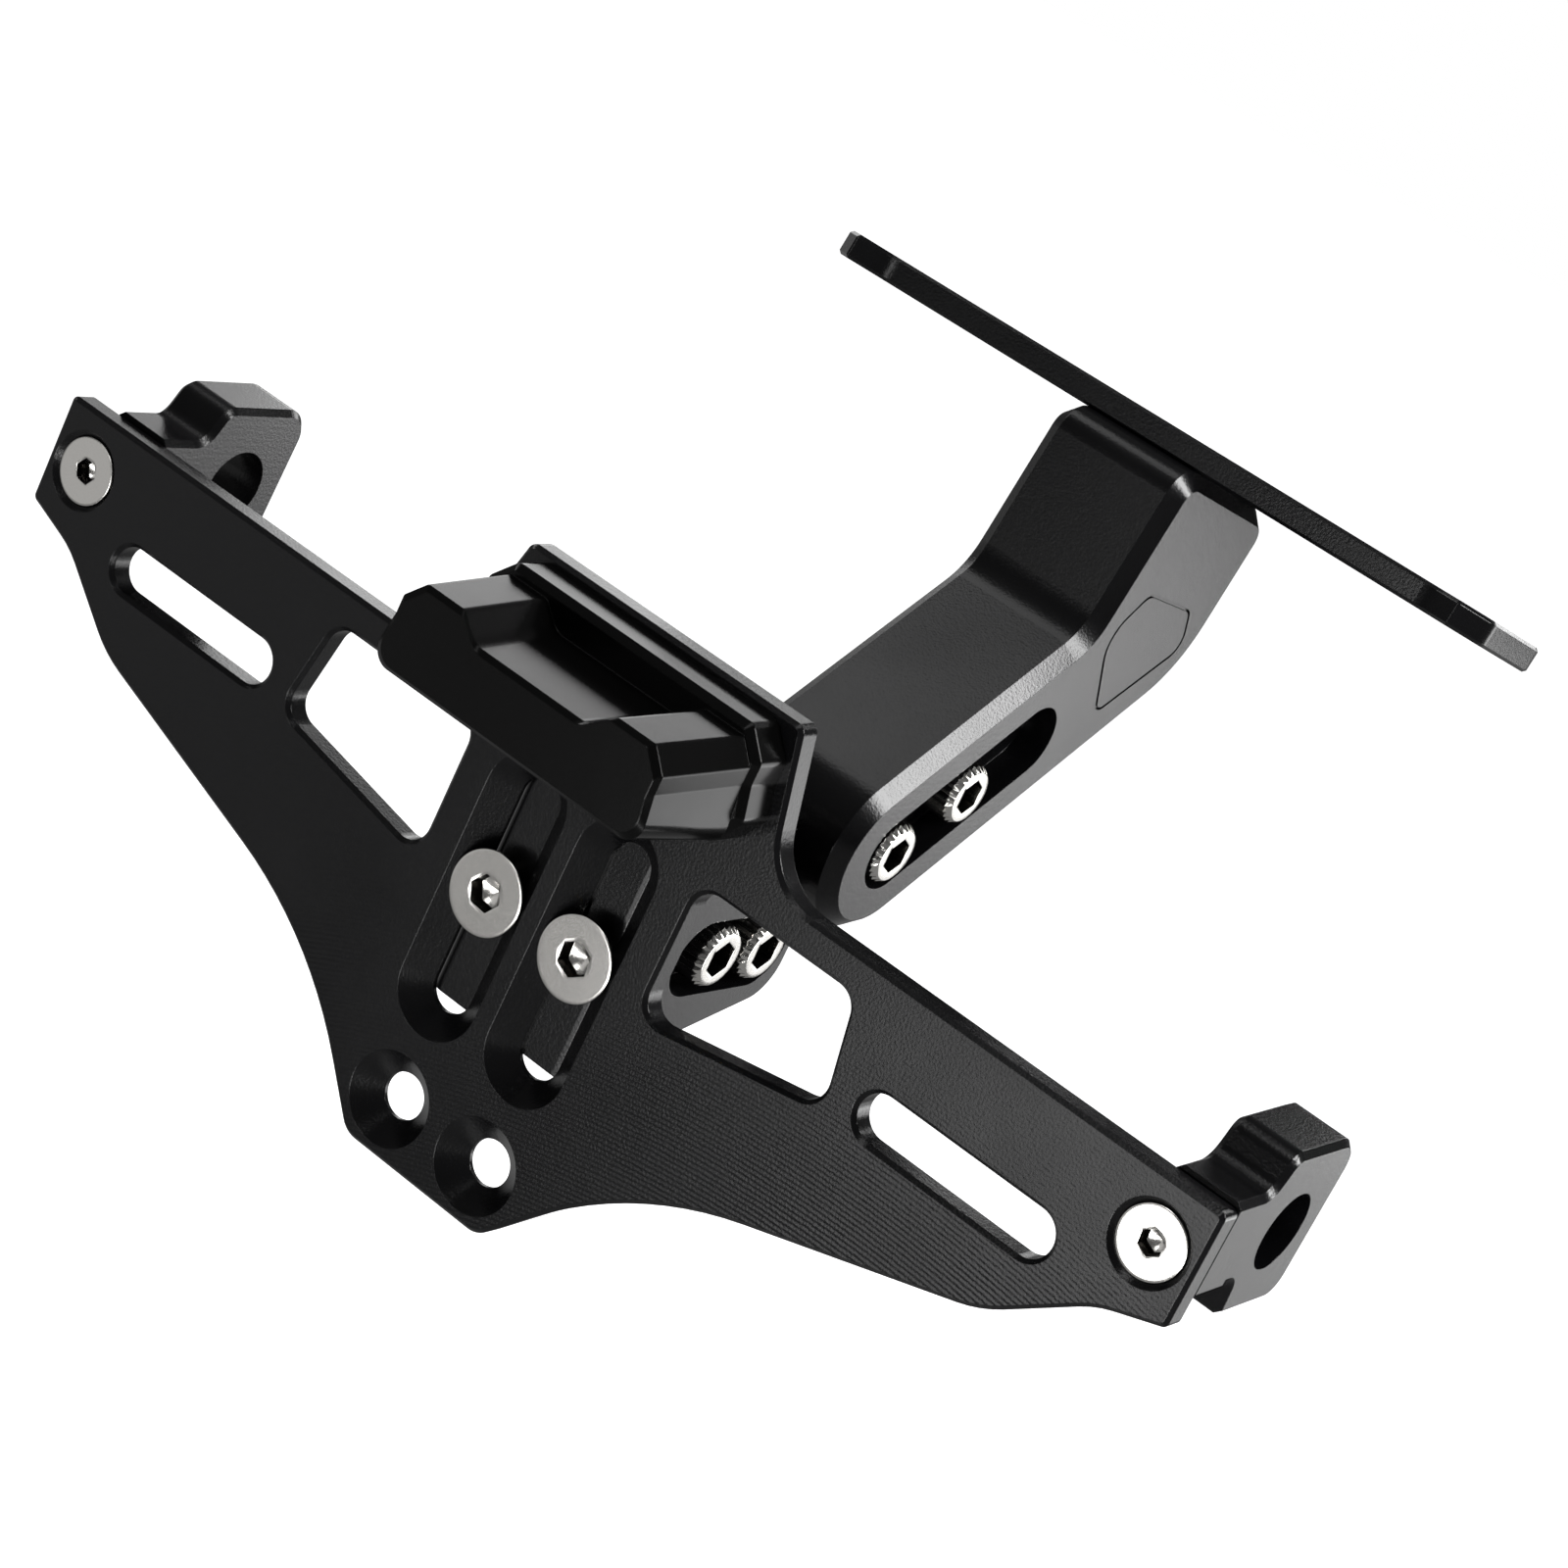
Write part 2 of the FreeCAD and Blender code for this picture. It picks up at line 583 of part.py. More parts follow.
def plate_bracket():
    front = PLATE_THICK
    back = front + BRACKET_BLOCK
    low = PLATE_SCREW_Z - BRACKET_END_RADIUS
    high = PLATE_SCREW_Z + BRACKET_END_RADIUS
    rear = BRACKET_END_Y + BRACKET_END_RADIUS
    corners = [(front, BRACKET_TOP, 0),
               (back, BRACKET_TOP, BRACKET_CORNER),
               (rear, high, BRACKET_END_RADIUS * 0.8),
               (rear, low, BRACKET_END_RADIUS * 0.8),
               (front + BRACKET_HEEL, BRACKET_BOTTOM, BRACKET_CORNER),
               (front, BRACKET_BOTTOM, 0)]
    body = rounded_prism(corners, on_side(-CHEEK), X_AXIS * BODY_WIDTH)
    upright = [edge for edge in edges_in_plane(body, Y_AXIS * front, Y_AXIS)
               if lies_across(edge, X_AXIS)]
    body = body.makeFillet(BRACKET_CORNER, upright)
    channel = Part.makeBox(2 * TONGUE_GAP, rear, BRACKET_TOP - BRACKET_BOTTOM,
                           Vector(-TONGUE_GAP, back, BRACKET_BOTTOM))
    body = body.cut(channel)
    last = bracket_bolts()[1]
    middle = last - Y_AXIS * (BRACKET_SLOT_RUN / 2)
    for pocket in bolt_pockets(middle, Y_AXIS, BRACKET_SLOT_RUN):
        body = body.cut(pocket)
    for side in (-1, 1):
        hole = Vector(side * SLOT_X, front, PLATE_SCREW_Z)
        depth = PLATE_SCREW_LENGTH - PLATE_THICK + THREAD_RELIEF
        body = body.cut(Part.makeCylinder(M6 / 2, depth, hole, Y_AXIS))
    return body


def link():
    """Bent bar: a level leg in the bracket and a sloping leg in the arm."""
    stops = bracket_bolts() + arm_bolts()
    left = X_AXIS * (TONGUE / -2)
    wide = X_AXIS * TONGUE
    discs = [Part.makeCylinder(LINK_RADIUS, TONGUE, stop + left, X_AXIS) for stop in stops]
    bars = []
    for start, end in zip(stops, stops[1:]):
        along = (end - start).normalize()
        across = X_AXIS.cross(along) * LINK_RADIUS
        ring = Part.makePolygon([start + across + left, end + across + left,
                                 end - across + left, start - across + left,
                                 start + across + left])
        bars.append(Part.Face(ring).extrude(wide))
    bar = discs[0].multiFuse(discs[1:] + bars).removeSplitter()
    for stop in stops:
        bar = bar.cut(Part.makeCylinder(M6 / 2 + SHANK_PLAY, TONGUE, stop + left, X_AXIS))
    return bar


def side_bolt(middle):
    seat = middle + X_AXIS * (CHEEK - POCKET_DEPTH)
    length = 2 * (CHEEK - POCKET_DEPTH) + M6_NUT_THICK
    return cap_screw(seat, X_AXIS * -1, length)


def side_nut(middle):
    return hex_nut(middle - X_AXIS * (CHEEK - POCKET_DEPTH), X_AXIS * -1)


def arm_corners():
    """Side view of the arm as (y, z, radius), round its lower end first."""
    half = ARM_THICK / 2
    head_front = TAIL_ORIGIN
    head_back = TAIL_ORIGIN + TAIL_ALONG * ARM_HEAD_DEEP
    top_start = ARM_END + ARM_UP * half
    low_start = ARM_END - ARM_UP * half
    bend = crossing(top_start, ARM_ALONG, head_front, TAIL_UP)
    heel = crossing(low_start, ARM_ALONG, head_back, TAIL_UP)
    cap = ARM_ALONG * half
    return [(*flat(top_start - cap), half * 0.999),
            (*flat(bend), ARM_BEND_RADIUS),
            (*flat(head_front), ARM_TOP_RADIUS),
            (*flat(head_back), ARM_TOP_RADIUS),
            (*flat(heel), ARM_BACK_RADIUS),
            (*flat(low_start - cap), half * 0.999)]


def flat(point):
    return point.y, point.z


def crossing(start, along, other, direction):
    """Where two lines in the side view meet."""
    gap = other - start
    share = (gap.y * direction.z - gap.z * direction.y)
    share = share / (along.y * direction.z - along.z * direction.y)
    return start + along * share


def arm():
    body = rounded_prism(arm_corners(), on_side(-CHEEK), X_AXIS * BODY_WIDTH)
    sides = [edge for edge in body.Edges if lies_across(edge, X_AXIS)]
    body = body.makeChamfer(ARM_BREAK, sides)
    slot_middle = ARM_END + ARM_ALONG * (ARM_SLOT_START + ARM_SLOT_RUN / 2)
    for pocket in bolt_pockets(slot_middle, ARM_ALONG, ARM_SLOT_RUN):
        body = body.cut(pocket)
    for side in (-1, 1):
        panel = Part.Face(rounded_wire(CHEEK_GROOVE_CORNERS, on_cheek(side)))
        groove = panel.cut(panel.makeOffset2D(-CHEEK_GROOVE_WIDE))
        body = body.cut(groove.extrude(X_AXIS * (-side * CHEEK_GROOVE_DEEP)))
    half = ARM_THICK / 2
    start = ARM_END - ARM_ALONG * ARM_THICK
    end = ARM_END + ARM_ALONG * (ARM_SLOT_START + ARM_SLOT_RUN + LINK_RADIUS + CHANNEL_PLAY)
    roof = ARM_UP * (half - ARM_WEB)
    floor = ARM_UP * -ARM_THICK
    left = X_AXIS * -TONGUE_GAP
    ring = Part.makePolygon([start + roof + left, end + roof + left, end + floor + left,
                             start + floor + left, start + roof + left])
    body = body.cut(Part.Face(ring).extrude(X_AXIS * (2 * TONGUE_GAP)))
    for x, u in tail_screw_places():
        hole = on_tail(0)(x, u)
        depth = TAIL_SCREW_LENGTH
        body = body.cut(Part.makeCylinder(M5 / 2, depth, hole, TAIL_UP * -1))
    return body


def tail_screw_places():
    return [(x, u) for u in (TAIL_SCREW_NEAR, TAIL_SCREW_FAR)
            for x in (-TAIL_SCREW_X, TAIL_SCREW_X)]


def tail_plate():
    half = [(TAIL_HALF - TAIL_REAR_IN, TAIL_REAR, TAIL_RADIUS),
            (TAIL_HALF, TAIL_SIDE_BACK, TAIL_RADIUS),
            (TAIL_HALF, TAIL_HORN_BACK, TAIL_HORN_RADIUS),
            (TAIL_HALF - TAIL_HORN_IN, TAIL_HORN, TAIL_HORN_TIP),
            (TAIL_HALF - TAIL_NECK_IN, TAIL_FRONT, TAIL_RADIUS)]
    plate = rounded_prism(mirrored(half), on_tail(0), TAIL_UP * TAIL_THICK)
    rims = [edge for edge in plate.Edges if lies_across(edge, TAIL_UP)]
    plate = plate.makeChamfer(TAIL_BREAK, rims)
    top = TAIL_THICK
    down = TAIL_UP * -1
    for x, u in tail_screw_places():
        centre = on_tail(top)(x, u)
        plate = plate.cut(tapered_stadium(centre, X_AXIS, 0, SINK_M5, THROUGH_M5, down))
        plate = plate.cut(Part.makeCylinder(THROUGH_M5 / 2, TAIL_THICK, centre, down))
    for side in (-1, 1):
        ear = on_tail(top)(side * (TAIL_HALF - TAIL_SLOT_IN), TAIL_SLOT_U)
        plate = plate.cut(stadium(ear, TAIL_ALONG, TAIL_SLOT_SPAN, TAIL_SLOT_WIDTH, down, TAIL_THICK))
        hole = on_tail(top)(side * TAIL_HOLE_X, TAIL_HOLE_U)
        plate = plate.cut(Part.makeCylinder(TAIL_SLOT_WIDTH / 2, TAIL_THICK, hole, down))
    return plate


def tail_screw(x, u):
    top = on_tail(TAIL_THICK - sunk_depth(SINK_M5, M5_SUNK_HEAD))(x, u)
    return sunk_screw(top, TAIL_UP * -1, M5, M5_SUNK_HEAD, M5_SUNK_KEY, TAIL_SCREW_LENGTH)


def pieces():
    near, far = tail_screw_places()[:2], tail_screw_places()[2:]
    parts = {"tail_plate": tail_plate(),
             "arm": arm(),
             "link": link(),
             "plate_bracket": plate_bracket(),
             "wing_plate": wing_plate(),
             "light_body": light_body(),
             "light_lens": light_lens(),
             "light_board": light_board(),
             "light_leds": light_leds(),
             "signal_bracket_left": signal_bracket(SIGNAL_LEFT_FROM_END - PLATE_HALF, -1),
             "signal_bracket_right": signal_bracket(PLATE_HALF - SIGNAL_WIDE, 1)}
    for name, side in (("left", -1), ("right", 1)):
        parts["plate_screw_" + name] = plate_screw(side)
        parts["signal_screw_" + name] = signal_screw(side)
        parts["light_screw_" + name] = light_screw(side)
    for row, places in (("rear", near), ("front", far)):
        for name, place in zip(("left", "right"), places):
            parts["tail_screw_" + row + "_" + name] = tail_screw(*place)
    for name, middle in zip(("low", "high"), arm_bolts()):
        parts["arm_bolt_" + name] = side_bolt(middle)
        parts["arm_nut_" + name] = side_nut(middle)
    for name, middle in zip(("rear", "front"), bracket_bolts()):
        parts["bracket_bolt_" + name] = side_bolt(middle)
        parts["bracket_nut_" + name] = side_nut(middle)
    return parts


os.makedirs("parts", exist_ok=True)
for name, shape in pieces().items():
    print(name, "solids", len(shape.Solids), "valid", shape.isValid(), "volume", round(shape.Volume, 1))
    shape.exportStep("parts/" + name + ".step")
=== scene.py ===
import bpy
import math
from mathutils import Matrix, Vector


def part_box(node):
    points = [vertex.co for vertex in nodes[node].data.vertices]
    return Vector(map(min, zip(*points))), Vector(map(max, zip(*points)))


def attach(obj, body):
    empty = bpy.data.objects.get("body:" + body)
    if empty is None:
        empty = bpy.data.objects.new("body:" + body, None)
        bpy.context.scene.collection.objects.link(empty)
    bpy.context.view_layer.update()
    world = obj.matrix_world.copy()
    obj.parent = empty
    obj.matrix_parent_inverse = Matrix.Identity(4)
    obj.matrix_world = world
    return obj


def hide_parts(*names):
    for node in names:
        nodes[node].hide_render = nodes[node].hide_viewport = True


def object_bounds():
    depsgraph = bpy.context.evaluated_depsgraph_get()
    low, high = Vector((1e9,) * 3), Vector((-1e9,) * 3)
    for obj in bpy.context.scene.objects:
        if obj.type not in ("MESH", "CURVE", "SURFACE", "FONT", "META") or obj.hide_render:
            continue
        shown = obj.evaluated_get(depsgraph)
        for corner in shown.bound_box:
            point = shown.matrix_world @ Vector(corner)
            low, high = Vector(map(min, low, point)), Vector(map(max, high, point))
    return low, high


# A licence plate holder for a motorbike. Its milled solids come from the frame in metres,
# and lie as they are. Sizes below are in millimetres, and MM turns them to metres.
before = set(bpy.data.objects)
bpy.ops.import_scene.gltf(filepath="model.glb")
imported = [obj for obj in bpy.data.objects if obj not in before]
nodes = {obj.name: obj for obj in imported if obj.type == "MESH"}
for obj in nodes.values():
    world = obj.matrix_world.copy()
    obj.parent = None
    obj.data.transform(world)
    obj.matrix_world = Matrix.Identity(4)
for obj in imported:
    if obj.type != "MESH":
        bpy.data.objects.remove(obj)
cad_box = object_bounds()
MM = 0.001

# Tail plate
# It screws under the bike's tail and carries the rest. 4.2 mm aluminium plate, profiled on
# a mill, its edges broken, then blasted lightly and anodised black.
ANODISED = "#070708"
ANODISED_GLOSS = 0.27
ANODISED_SLEEKEST = 0.18
ANODISED_DULLEST = 0.26
EDGE_SOFTNESS = 0.16
HANDLING_MARKS = 22
# The blast's real grain is about 0.1 mm wide, and the cutter's feed 0.2 mm a pass. Both are
# drawn coarser here and on the pieces below, because they are too fine to show.
BLAST_GRAIN = 0.4
BLAST_DEPTH = 0.08
FEED_PITCH = 0.7
FRESH_MARKS = 0.6
WORN_MARKS = 0.2
# A noise pattern lies between these values nearly everywhere.
NOISE_LOW = 0.3
NOISE_HIGH = 0.7


def linear(hex_colour):
    """sRGB hex to the linear colour that a shader takes."""
    channels = [int(hex_colour[i:i + 2], 16) / 255 for i in (1, 3, 5)]
    return [c / 12.92 if c <= 0.04045 else ((c + 0.055) / 1.055) ** 2.4 for c in channels] + [1.0]


def add(tree, kind, settings=None, inputs=None):
    """Adds one node with its settings; an input is a value or another node's output."""
    node = tree.nodes.new(kind)
    for name, value in (settings or {}).items():
        setattr(node, name, value)
    for name, value in (inputs or {}).items():
        if isinstance(value, bpy.types.NodeSocket):
            tree.links.new(value, node.inputs[name])
        else:
            node.inputs[name].default_value = value
    return node


def finish(name, colour, roughness):
    """A new material with one colour and roughness; returns it with its tree and shader."""
    material = bpy.data.materials.new(name)
    material.use_nodes = True
    tree = material.node_tree
    tree.nodes.clear()
    shader = add(tree, "ShaderNodeBsdfPrincipled",
                 inputs={"Base Color": linear(colour), "Roughness": roughness})
    add(tree, "ShaderNodeOutputMaterial", inputs={"Surface": shader.outputs["BSDF"]})
    return material, tree, shader


def dress(material, *names):
    """Gives these CAD nodes the material."""
    for name in names:
        nodes[name].data.materials.clear()
        nodes[name].data.materials.append(material)


def black_anodised(name, wave, centre, pitch, cut_depth, milled, deep_to, gone_at):
    """Black anodised aluminium: a deep black with a satin sheen and the cutter's marks in it.

    wave is RINGS for a fly cutter's arcs about the centre, or BANDS for straight passes;
    milled is the way that the faces with these marks look. The marks are deep as far as
    deep_to from the centre, and are worn thin from gone_at on.
    """
    material, tree, shader = finish(name, ANODISED, ANODISED_DULLEST)
    shader.inputs["Specular IOR Level"].default_value = ANODISED_GLOSS
    place = add(tree, "ShaderNodeTexCoord")
    from_centre = add(tree, "ShaderNodeMapping", {"vector_type": "POINT"},
                      {"Vector": place.outputs["Object"], "Location": [-c * MM for c in centre]})
    marks = add(tree, "ShaderNodeTexWave",
                {"wave_type": wave, "rings_direction": "SPHERICAL", "bands_direction": "Z"},
                {"Vector": from_centre.outputs["Vector"], "Scale": math.pi / 10 / (pitch * MM),
                 "Distortion": 0.8, "Detail": 2.0, "Detail Scale": 0.6})
    grain = add(tree, "ShaderNodeTexNoise", {},
                {"Vector": place.outputs["Object"], "Scale": 1 / (BLAST_GRAIN * MM), "Detail": 2.0})
    wear = add(tree, "ShaderNodeTexNoise", {},
               {"Vector": place.outputs["Object"], "Scale": 1 / (HANDLING_MARKS * MM),
                "Detail": 4.0})
    rough = add(tree, "ShaderNodeMapRange", {},
                {"Value": wear.outputs["Fac"], "From Min": NOISE_LOW, "From Max": NOISE_HIGH,
                 "To Min": ANODISED_SLEEKEST, "To Max": ANODISED_DULLEST})
    edges = add(tree, "ShaderNodeBevel", {"samples": 4}, {"Radius": EDGE_SOFTNESS * MM})
    facing = add(tree, "ShaderNodeVectorMath", {"operation": "DOT_PRODUCT"},
                 {0: place.outputs["Normal"], 1: milled})
    square_on = add(tree, "ShaderNodeMath", {"operation": "ABSOLUTE"},
                    {0: facing.outputs["Value"]})
    faced = add(tree, "ShaderNodeMapRange", {},
                {"Value": square_on.outputs["Value"], "From Min": 0.9, "From Max": 0.98,
                 "To Max": FRESH_MARKS})
    far = add(tree, "ShaderNodeVectorMath", {"operation": "LENGTH"},
              {0: from_centre.outputs["Vector"]})
    kept = add(tree, "ShaderNodeMapRange", {},
               {"Value": far.outputs["Value"], "From Min": deep_to * MM, "From Max": gone_at * MM,
                "To Min": 1.0, "To Max": WORN_MARKS})
    depth = add(tree, "ShaderNodeMath", {"operation": "MULTIPLY"},
                {0: faced.outputs["Result"], 1: kept.outputs["Result"]})
    cut = add(tree, "ShaderNodeBump", {},
              {"Strength": depth.outputs["Value"], "Distance": cut_depth * MM,
               "Height": marks.outputs["Fac"], "Normal": edges.outputs["Normal"]})
    blast = add(tree, "ShaderNodeBump", {},
                {"Strength": 0.35, "Distance": BLAST_DEPTH * MM, "Height": grain.outputs["Fac"],
                 "Normal": cut.outputs["Normal"]})
    tree.links.new(rough.outputs["Result"], shader.inputs["Roughness"])
    tree.links.new(blast.outputs["Normal"], shader.inputs["Normal"])
    return material


plate_stock = black_anodised("black_anodised_plate_stock", wave="RINGS", centre=(-140, 60, 0),
                             pitch=FEED_PITCH, cut_depth=0.02, milled=(0, 0, 1),
                             deep_to=120, gone_at=210)
dress(plate_stock, "tail_plate")

# Countersunk screws of the tail plate
# Four stainless M5 screws hold the tail plate down on the arm's head. Such a screw is cold
# headed, its face is turned flat, and its hexagon is broached; the shade inside it is painted dark.
STEEL = "#cfcdc9"
# Painted shade: the dark steel tone below stands in for the shade inside each key's hexagon.
SOCKET_SHADE = "#3b3936"
STEEL_SLEEKEST = 0.12
STEEL_DULLEST = 0.24
TURNING_PITCH = 0.32
TURNING_DEPTH = 0.012
TUMBLED_GRAINS_PER_MM = 3.5
THREAD_LEAD = 0.6
SUNK_RIM = 0.4
FACE_EDGE = 0.4
SUNK_ROUNDING = 0.12
KEY_DEPTH = 2.6
KEY_MOUTH = 0.25
M5_HEAD = 10.0
M5 = 5.0
M5_SUNK_KEY = 3.3
TAIL_SCREW_LENGTH = 14.0
TAIL_SLOPE = 12.5


def turned_steel(name, colour):
    """Stainless steel, bright, with the lathe's rings about the screw's own middle.

    The rings are read from the UV map, and are drawn coarser than they are, to show.
    """
    material, tree, shader = finish(name, colour, STEEL_DULLEST)
    shader.inputs["Metallic"].default_value = 1.0
    place = add(tree, "ShaderNodeUVMap", {"uv_map": "across"})
    rings = add(tree, "ShaderNodeTexWave", {"wave_type": "RINGS", "rings_direction": "Z"},
                {"Vector": place.outputs["UV"], "Scale": math.pi / 10 / TURNING_PITCH,
                 "Distortion": 0.6, "Detail": 2.0, "Detail Scale": 1.5})
    grain = add(tree, "ShaderNodeTexNoise", {},
                {"Vector": place.outputs["UV"], "Scale": TUMBLED_GRAINS_PER_MM, "Detail": 3.0})
    both = add(tree, "ShaderNodeMix", {"data_type": "FLOAT"},
               {"Factor": 0.7, "A": rings.outputs["Fac"], "B": grain.outputs["Fac"]})
    rough = add(tree, "ShaderNodeMapRange", {},
                {"Value": grain.outputs["Fac"], "From Min": NOISE_LOW, "From Max": NOISE_HIGH,
                 "To Min": STEEL_SLEEKEST, "To Max": STEEL_DULLEST})
    bump = add(tree, "ShaderNodeBump", {},
               {"Strength": 0.4, "Distance": TURNING_DEPTH * MM, "Height": both.outputs["Result"]})
    tree.links.new(rough.outputs["Result"], shader.inputs["Roughness"])
    tree.links.new(bump.outputs["Normal"], shader.inputs["Normal"])
    return material


def turn(name, outline, sides):
    """Draws a round or six-sided piece up from its foot: outline is (radius, height) in mm."""
    bpy.ops.object.select_all(action="DESELECT")
    radius, height = outline[0]
    bpy.ops.mesh.primitive_circle_add(vertices=sides, radius=radius * MM, fill_type="NGON",
                                      location=(0, 0, height * MM))
    piece = bpy.context.object
    piece.name = name
    bpy.ops.object.transform_apply()
    bpy.ops.object.mode_set(mode="EDIT")
    bpy.ops.mesh.select_all(action="SELECT")
    for next_radius, next_height in outline[1:]:
        bpy.ops.mesh.extrude_region_move(
            TRANSFORM_OT_translate={"value": (0, 0, (next_height - height) * MM)})
        growth = next_radius / radius
        bpy.ops.transform.resize(value=(growth, growth, 1),
                                 center_override=(0, 0, next_height * MM))
        radius, height = next_radius, next_height
    bpy.ops.mesh.select_all(action="SELECT")
    bpy.ops.mesh.normals_make_consistent(inside=False)
    bpy.ops.object.mode_set(mode="OBJECT")
    return piece


def combine(piece, tool, operation):
    """Cuts the piece with the tool, or keeps what both share, and clears the tool away."""
    modifier = piece.modifiers.new(operation, "BOOLEAN")
    modifier.operation = operation
    modifier.solver = "EXACT"
    modifier.object = tool
    bpy.context.view_layer.objects.active = piece
    bpy.ops.object.modifier_apply(modifier=modifier.name)
    bpy.data.objects.remove(tool)


def key_socket(piece, key, depth):
    """Broaches the hexagon for a key into the piece's top face, with a drill point below."""
    corner = key / math.sqrt(3)
    combine(piece, turn("broach", [(0.1, -depth - corner / 5), (corner, -depth), (corner, 1)], 6),
            "DIFFERENCE")


def paint_socket_shade(piece, key, lowest):
    """Paints shade in dark steel on the walls of the key's socket, down to the lowest height."""
    reach = key / math.sqrt(3) + 0.05
    piece.data.materials.append(socket_shade_steel)
    for face in piece.data.polygons:
        x, y, z = face.center / MM
        if math.hypot(x, y) < reach and lowest < z < -KEY_MOUTH:
            face.material_index = 1


def round_edges(piece, width):
    """Takes the sharpness off the edges, smooths the round faces and maps the face across."""
    bevel = piece.modifiers.new("edges", "BEVEL")
    bevel.width = width * MM
    bevel.segments = 2
    bevel.limit_method = "ANGLE"
    bevel.angle_limit = math.radians(25)
    bpy.ops.object.select_all(action="DESELECT")
    piece.select_set(True)
    bpy.context.view_layer.objects.active = piece
    bpy.ops.object.modifier_apply(modifier=bevel.name)
    bpy.ops.object.shade_smooth_by_angle(angle=math.radians(30))
    across = piece.data.uv_layers.new(name="across")
    for loop in piece.data.loops:
        x, y, _ = piece.data.vertices[loop.vertex_index].co
        across.data[loop.index].uv = (x / MM, y / MM)


def fit(model, node, at, out, spin, body):
    """A copy of the modelled fastener, its top at a point and facing out, for the CAD's own."""
    piece = model.copy()
    piece.data = model.data.copy()
    piece.name = node + "_turned"
    bpy.context.scene.collection.objects.link(piece)
    facing = Vector(out).to_track_quat("Z", "Y").to_matrix().to_4x4()
    piece.matrix_world = (Matrix.Translation(Vector(at) * MM) @ facing
                          @ Matrix.Rotation(math.radians(spin), 4, "Z"))
    bpy.ops.object.select_all(action="DESELECT")
    piece.select_set(True)
    bpy.context.view_layer.objects.active = piece
    bpy.ops.object.transform_apply()
    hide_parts(node)
    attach(piece, body)
    return piece


def sunk_screw(name, head, thread, key, length):
    """A countersunk screw of bright steel, with its face at height 0."""
    neck = SUNK_RIM + (head - thread) / 2
    screw = turn(name, [(thread / 2 - THREAD_LEAD, -length), (thread / 2, -length + THREAD_LEAD),
                        (thread / 2, -neck), (head / 2, -SUNK_RIM), (head / 2, 0),
                        (head / 2 - FACE_EDGE, 0), (key / math.sqrt(3) + FACE_EDGE, 0)], 72)
    key_socket(screw, key, KEY_DEPTH)
    round_edges(screw, SUNK_ROUNDING)
    screw.data.materials.append(bright_steel)
    paint_socket_shade(screw, key, -KEY_DEPTH)
    return screw


bright_steel = turned_steel("turned_stainless_steel", STEEL)
# Painted shade: a dark copy of the steel, put on the walls inside the hexagon sockets.
socket_shade_steel = turned_steel("painted_socket_shade_steel", SOCKET_SHADE)
tail_screw = sunk_screw("tail_screw", M5_HEAD, M5, M5_SUNK_KEY, TAIL_SCREW_LENGTH)
tail_out = Vector((0, math.sin(math.radians(TAIL_SLOPE)), math.cos(math.radians(TAIL_SLOPE))))
for node in ("tail_screw_rear_left", "tail_screw_rear_right",
             "tail_screw_front_left", "tail_screw_front_right"):
    low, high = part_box(node)
    middle = (low + high) / 2 / MM
    fit(tail_screw, node, middle + tail_out * (TAIL_SCREW_LENGTH / 2), tail_out, 0, "tail")
bpy.data.objects.remove(tail_screw)

# Arm
# The bent arm hangs below the tail plate. Milled from one bar, slotted through its cheeks
# for the bolts and hollowed between them for the link, with broad chamfers; black anodised.
bar_stock = black_anodised("black_anodised_bar_stock", wave="BANDS", centre=(0, 0, 0), pitch=1.1,
                           cut_depth=0.003, milled=(1, 0, 0), deep_to=200, gone_at=300)
dress(bar_stock, "arm")

# Link
# A short bent bar inside the arm and the plate bracket, clamped by a bolt and nut at each of
# its four holes. Milled from aluminium bar and anodised black, as the arm is.
dress(bar_stock, "link")

# Socket cap bolts and nuts
# Four stainless M6 bolts clamp the link. The head is knurled straight for the fingers, and
# has a flat ring round its hexagon; each nut is chamfered at its corners.
CAP_HEAD = 10.0
CAP_HEIGHT = 6.0
CAP_KEY = 5.0
CAP_RING = 6.9
CAP_TOP_IN = 0.8
CAP_TOP_DOWN = 1.0
CAP_FOOT_IN = 0.3
CAP_FOOT_UP = 0.4
CAP_ROUNDING = 0.1
M6 = 6.0
KNURLS = 26
KNURL_DEPTH = 0.45
BOLT_LENGTH = 25.8
NUT = 10.0
NUT_THICK = 5.0
NUT_FACE = 4.7
NUT_CORNERS = 5.9
NUT_CHAMFER = 0.7
TAP_LEAD = 0.5
NUT_ROUNDING = 0.08
BOLTS = {"arm_bolt_low": "arm_nut_low", "arm_bolt_high": "arm_nut_high",
         "bracket_bolt_rear": "bracket_nut_rear", "bracket_bolt_front": "bracket_nut_front"}

shank = -CAP_HEIGHT
rim = CAP_HEAD / 2
cap_bolt = turn("cap_bolt", [(M6 / 2 - THREAD_LEAD, -BOLT_LENGTH),
                             (M6 / 2, -BOLT_LENGTH + THREAD_LEAD), (M6 / 2, shank),
                             (rim - CAP_FOOT_IN, shank), (rim, shank + CAP_FOOT_UP),
                             (rim, -CAP_TOP_DOWN), (rim - CAP_TOP_IN, 0), (CAP_RING / 2, 0)],
                2 * KNURLS)
bpy.ops.object.mode_set(mode="EDIT")
bpy.ops.mesh.select_all(action="DESELECT")
bpy.ops.object.mode_set(mode="OBJECT")
for vertex in cap_bolt.data.vertices:
    x, y, z = vertex.co / MM
    column = round(math.degrees(math.atan2(y, x)) / (180 / KNURLS))
    vertex.select = math.hypot(x, y) > rim - 0.1 and column % 2 == 0
bpy.ops.object.mode_set(mode="EDIT")
inward = 1 - KNURL_DEPTH / rim
bpy.ops.transform.resize(value=(inward, inward, 1), center_override=(0, 0, 0))
bpy.ops.object.mode_set(mode="OBJECT")
key_socket(cap_bolt, CAP_KEY, CAP_HEIGHT / 2)
round_edges(cap_bolt, CAP_ROUNDING)
cap_bolt.data.materials.append(bright_steel)
paint_socket_shade(cap_bolt, CAP_KEY, -CAP_HEIGHT)

